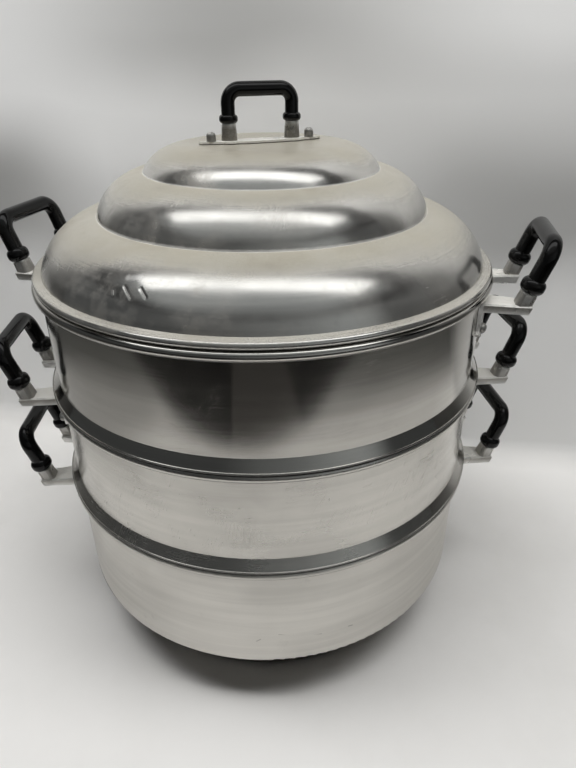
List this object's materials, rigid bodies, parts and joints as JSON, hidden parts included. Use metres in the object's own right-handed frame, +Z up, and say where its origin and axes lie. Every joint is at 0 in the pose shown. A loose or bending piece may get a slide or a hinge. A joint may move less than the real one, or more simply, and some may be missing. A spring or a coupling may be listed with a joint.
{
  "type": "steamer pot",
  "caption": "Stacking steamer pot: base pot, perforated steaming tiers and a stepped dome lid, with riveted brackets and moulded grips.",
  "frame": {"origin": "on the stacking axis, at the base pot's underside", "axes": "+Z up along the stacking axis; the pairs of side handles stand near the X axis; the front is towards -Y"},
  "size_m": [0.4944, 0.404, 0.5039],
  "materials": {
    "base_pot": "satin, lightly scratched",
    "lower_tier": "brushed satin, lightly scratched",
    "upper_tier": "polished",
    "lid": "polished, dulled on its upper faces",
    "cast_bracket": "as cast, tumbled",
    "grip": "glossy moulded phenolic",
    "rivet": "tumbled",
    "screw": "plated"
  },
  "bodies": {
    "base": {"base_pot": "base_pot", "base_bracket_left": "cast_bracket", "base_grip_left": "grip", "base_bracket_right": "cast_bracket", "base_grip_right": "grip", "base_rivets": "rivet", "base_screws": "screw"},
    "lower_tier": {"lower_tier": "lower_tier", "lower_tier_bracket_left": "cast_bracket", "lower_tier_grip_left": "grip", "lower_tier_bracket_right": "cast_bracket", "lower_tier_grip_right": "grip", "lower_tier_rivets": "rivet", "lower_tier_screws": "screw"},
    "upper_tier": {"upper_tier": "upper_tier", "upper_tier_bracket_left": "cast_bracket", "upper_tier_grip_left": "grip", "upper_tier_bracket_right": "cast_bracket", "upper_tier_grip_right": "grip", "upper_tier_rivets": "rivet", "upper_tier_screws": "screw"},
    "lid": {"lid": "lid", "lid_bracket": "cast_bracket", "lid_grip": "grip", "lid_rivets": "rivet", "lid_screws": "screw"}
  },
  "joints": [
    {"name": "lower_tier_lift", "type": "slide", "parent": "base", "child": "lower_tier", "axis": [0, 0, 1], "range_m": [0, 0.12]},
    {"name": "upper_tier_lift", "type": "slide", "parent": "lower_tier", "child": "upper_tier", "axis": [0, 0, 1], "range_m": [0, 0.12]},
    {"name": "lid_lift", "type": "slide", "parent": "upper_tier", "child": "lid", "axis": [0, 0, 1], "range_m": [0, 0.15]}
  ]
}
